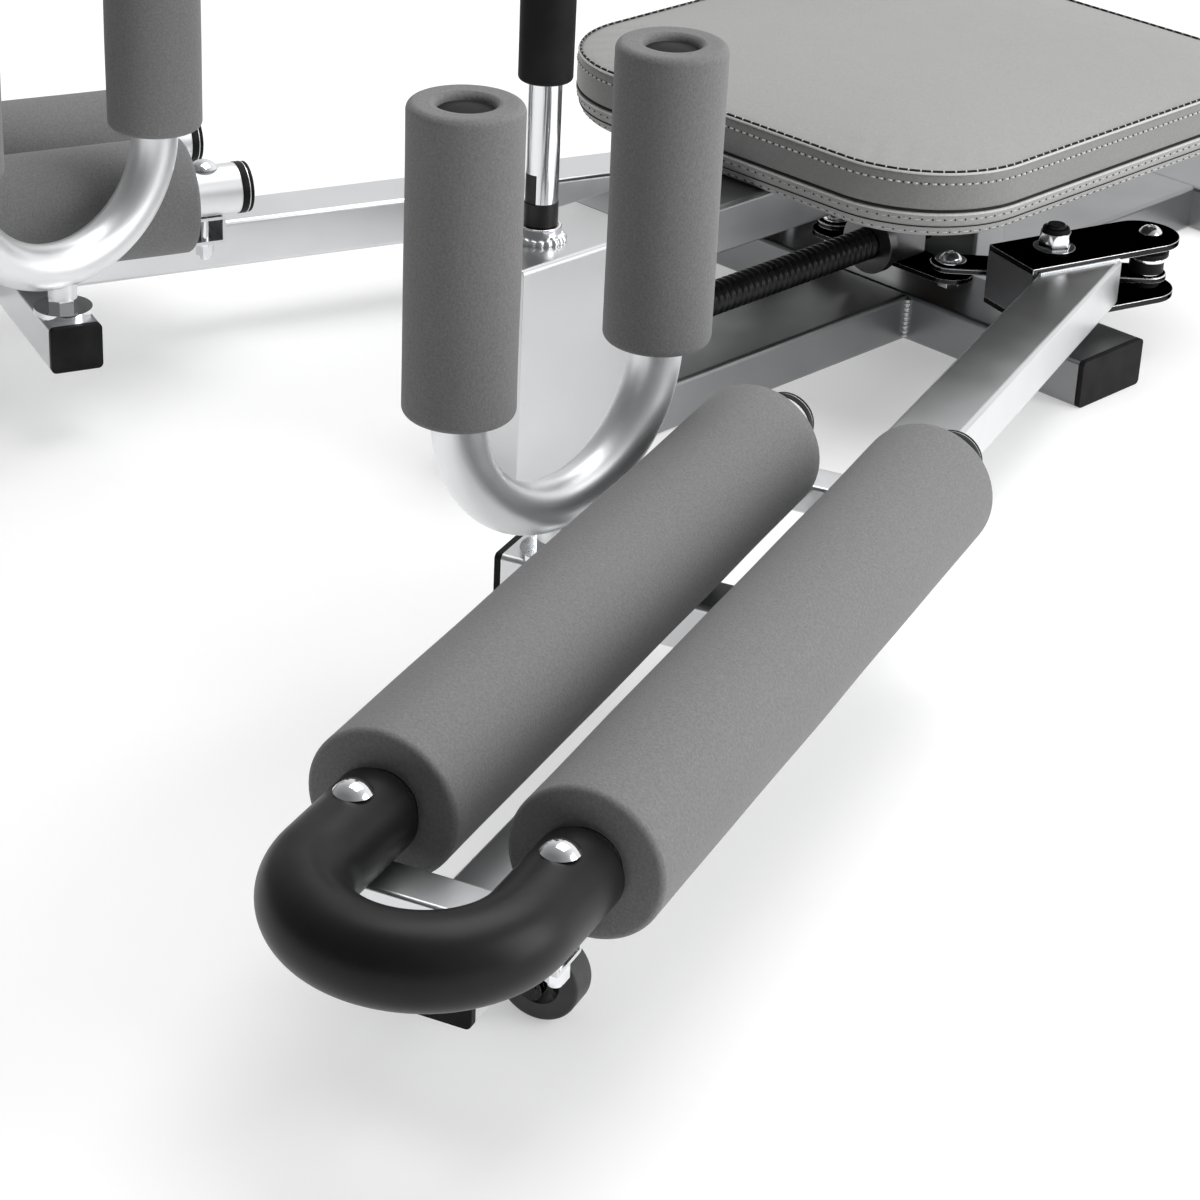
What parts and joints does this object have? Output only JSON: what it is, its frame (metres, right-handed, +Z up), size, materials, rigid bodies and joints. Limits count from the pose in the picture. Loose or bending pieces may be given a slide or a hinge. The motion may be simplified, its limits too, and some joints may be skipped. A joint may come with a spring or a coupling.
{
  "type": "leg stretching machine",
  "caption": "Low leg stretching machine: a seat and an upright turning column whose screw drive spreads two foam-roller arms with upright calf holders.",
  "frame": {"origin": "on the floor in the middle plane, under the line through both arm pivots", "axes": "+Z up; +Y behind the user; -Y towards the feet; +X towards the near arm"},
  "size_m": [1.283, 1.5871, 0.592],
  "materials": {
    "frame_paint": "silver-grey powder coat with a fine metallic grain",
    "link_steel": "smooth bright plated steel",
    "chrome": "polished chrome plate",
    "black_steel": "oiled black steel",
    "gear_steel": "machined gear steel",
    "bronze": "sintered bronze bush",
    "black_plastic": "moulded black plastic",
    "satin_black": "satin black moulded plastic",
    "black_rubber": "matt black grip foam",
    "wheel_rubber": "black rubber",
    "grey_foam": "closed-cell grey foam with a fine grain",
    "vinyl": "light grey grained vinyl",
    "plywood": "plywood"
  },
  "bodies": {
    "frame": {"rails": "frame_paint", "cross_tube": "frame_paint", "rear_foot": "frame_paint", "gear_housing": "frame_paint", "seat_beam": "frame_paint", "pillar": "frame_paint", "frame_caps": "black_plastic", "pivot_studs": "black_steel", "pivot_nuts": "chrome", "thrust_washers": "chrome", "seat_board": "plywood", "seat_pad": "vinyl", "seat_bolts": "chrome", "shaft_boss": "chrome", "drive_bearings": "bronze"},
    "column": {"drive_shaft": "black_steel", "drive_bevel": "gear_steel", "column_tube": "chrome", "column_sleeve": "black_rubber", "handlebar": "chrome", "handlebar_grips": "black_rubber"},
    "screw": {"lead_screw": "black_steel", "screw_bevel": "gear_steel"},
    "crosshead": {"crosshead": "link_steel", "screw_nut": "black_steel", "crosshead_bolts": "chrome"},
    "near_link": {"near_link": "link_steel"},
    "far_link": {"far_link": "link_steel"},
    "near_arm": {"near_arm_tube": "frame_paint", "near_arm_plates": "link_steel", "near_roller_tubes": "frame_paint", "near_roller_foams": "grey_foam", "near_channels": "frame_paint", "near_end_bend": "satin_black", "near_arm_bolts": "chrome", "near_stub": "frame_paint", "near_arm_caps": "black_plastic", "near_wheel_fork": "frame_paint"},
    "near_wheel": {"near_wheel": "wheel_rubber"},
    "near_holder": {"near_holder": "frame_paint", "near_upright_foams": "grey_foam", "near_holder_plugs": "black_plastic"},
    "far_arm": {"far_arm_tube": "frame_paint", "far_arm_plates": "link_steel", "far_roller_tubes": "frame_paint", "far_roller_foams": "grey_foam", "far_channels": "frame_paint", "far_end_bend": "satin_black", "far_arm_bolts": "chrome", "far_stub": "frame_paint", "far_arm_caps": "black_plastic", "far_wheel_fork": "frame_paint"},
    "far_wheel": {"far_wheel": "wheel_rubber"},
    "far_holder": {"far_holder": "frame_paint", "far_upright_foams": "grey_foam", "far_holder_plugs": "black_plastic"}
  },
  "joints": [
    {"name": "near_arm_spread", "type": "hinge", "parent": "frame", "child": "near_arm", "pos_m": [0.152, 0, 0.08], "axis": [0, 0, 1], "range_deg": [-10, 56]},
    {"name": "far_arm_spread", "type": "hinge", "parent": "frame", "child": "far_arm", "pos_m": [-0.152, 0, 0.08], "axis": [0, 0, -1], "range_deg": [-10, 56]},
    {"name": "crosshead_slide", "type": "slide", "parent": "frame", "child": "crosshead", "axis": [0, -1, 0], "range_m": [-0.01126, 0.06301]},
    {"name": "near_link_swing", "type": "hinge", "parent": "crosshead", "child": "near_link", "pos_m": [0.062, -0.016, 0.068], "axis": [0, 0, 1], "range_deg": [-6.8, 38]},
    {"name": "far_link_swing", "type": "hinge", "parent": "crosshead", "child": "far_link", "pos_m": [-0.062, -0.016, 0.068], "axis": [0, 0, -1], "range_deg": [-6.8, 38]},
    {"name": "screw_turn", "type": "hinge", "parent": "frame", "child": "screw", "pos_m": [0, -0.2, 0.076], "axis": [0, 1, 0], "range_deg": [-578.6, 3240.1]},
    {"name": "column_turn", "type": "hinge", "parent": "frame", "child": "column", "pos_m": [0, -0.433, 0.2], "axis": [0, 0, -1], "range_deg": [-578.6, 3240.1]},
    {"name": "near_wheel_spin", "type": "hinge", "parent": "near_arm", "child": "near_wheel", "pos_m": [0.52782, -0.93618, 0.025], "axis": [0.3355, -0.9421, 0], "continuous": true},
    {"name": "near_holder_swivel", "type": "hinge", "parent": "near_arm", "child": "near_holder", "pos_m": [0.26246, -0.67241, 0.11], "axis": [0, 0, 1], "range_deg": [-5, 40]},
    {"name": "far_wheel_spin", "type": "hinge", "parent": "far_arm", "child": "far_wheel", "pos_m": [-0.52782, -0.93618, 0.025], "axis": [-0.3355, -0.9421, 0], "continuous": true},
    {"name": "far_holder_swivel", "type": "hinge", "parent": "far_arm", "child": "far_holder", "pos_m": [-0.26246, -0.67241, 0.11], "axis": [0, 0, -1], "range_deg": [-5, 40]}
  ],
  "couplings": [
    {"joint": "far_arm_spread", "follows": "near_arm_spread", "ratio": 1},
    {"joint": "crosshead_slide", "follows": "near_arm_spread", "m_per_rad": 0.064458},
    {"joint": "near_link_swing", "follows": "near_arm_spread", "ratio": 0.6773},
    {"joint": "far_link_swing", "follows": "near_arm_spread", "ratio": 0.6773},
    {"joint": "screw_turn", "follows": "near_arm_spread", "ratio": 57.857},
    {"joint": "column_turn", "follows": "near_arm_spread", "ratio": 57.857}
  ]
}
